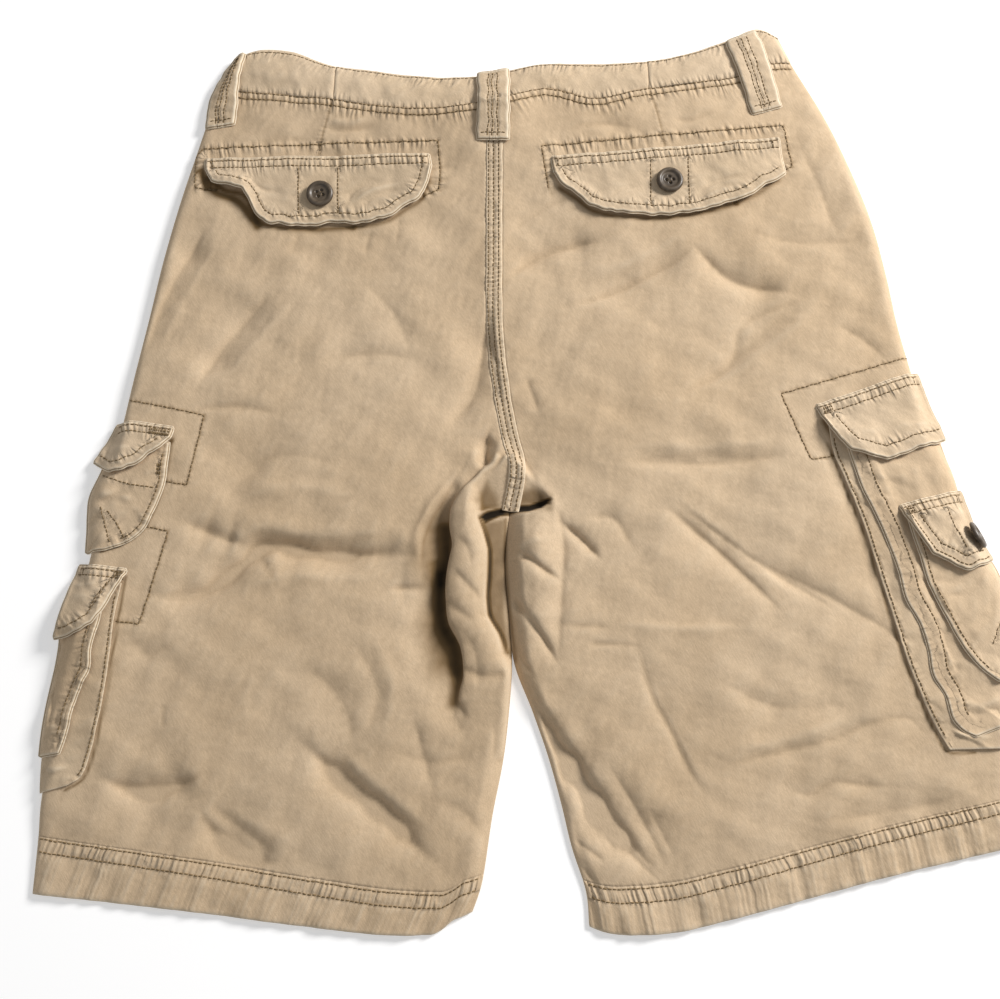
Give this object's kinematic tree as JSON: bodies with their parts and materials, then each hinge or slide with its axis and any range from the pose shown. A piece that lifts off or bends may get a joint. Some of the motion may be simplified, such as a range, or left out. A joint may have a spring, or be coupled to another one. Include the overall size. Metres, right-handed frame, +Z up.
{
  "type": "cargo shorts",
  "caption": "Cotton twill cargo shorts lying flat with the back up: belt loops, buttoned flaps on the seat and bellows pockets on the legs.",
  "frame": {"origin": "middle of the underside, on the surface that the shorts lie on", "axes": "+Z up out of the surface, +Y from the hems towards the waist, +X towards the wearer's right, since the back is up"},
  "size_m": [0.6465, 0.6425, 0.0245],
  "materials": {
    "twill": "washed khaki cotton twill",
    "twill_trim": "washed khaki cotton twill, two layers, with worn edges",
    "thread": "brown sewing thread",
    "button": "matt brown resin"
  },
  "bodies": {
    "root": {"front_left": "twill", "front_right": "twill", "back_left": "twill", "back_right": "twill", "hem_front_left": "twill", "hem_front_right": "twill", "hem_back_left": "twill", "hem_back_right": "twill", "seat_seam": "twill_trim", "waistband_front_left": "twill_trim", "waistband_front_right": "twill_trim", "waistband_back_left": "twill_trim", "waistband_back_centre": "twill_trim", "waistband_back_right": "twill_trim", "belt_loop_left": "twill_trim", "belt_loop_centre": "twill_trim", "belt_loop_right": "twill_trim", "back_pocket_flap_left": "twill_trim", "back_pocket_flap_right": "twill_trim", "cargo_right_gusset": "twill", "cargo_right_pocket": "twill", "cargo_right_small_pocket": "twill", "cargo_right_flap": "twill_trim", "cargo_right_small_flap": "twill_trim", "cargo_left_upper_pocket": "twill", "cargo_left_upper_flap": "twill_trim", "cargo_left_lower_gusset": "twill", "cargo_left_lower_pocket": "twill", "cargo_left_lower_flap": "twill_trim", "button_back_left": "button", "button_back_right": "button", "button_cargo_right": "button"}
  },
  "joints": []
}
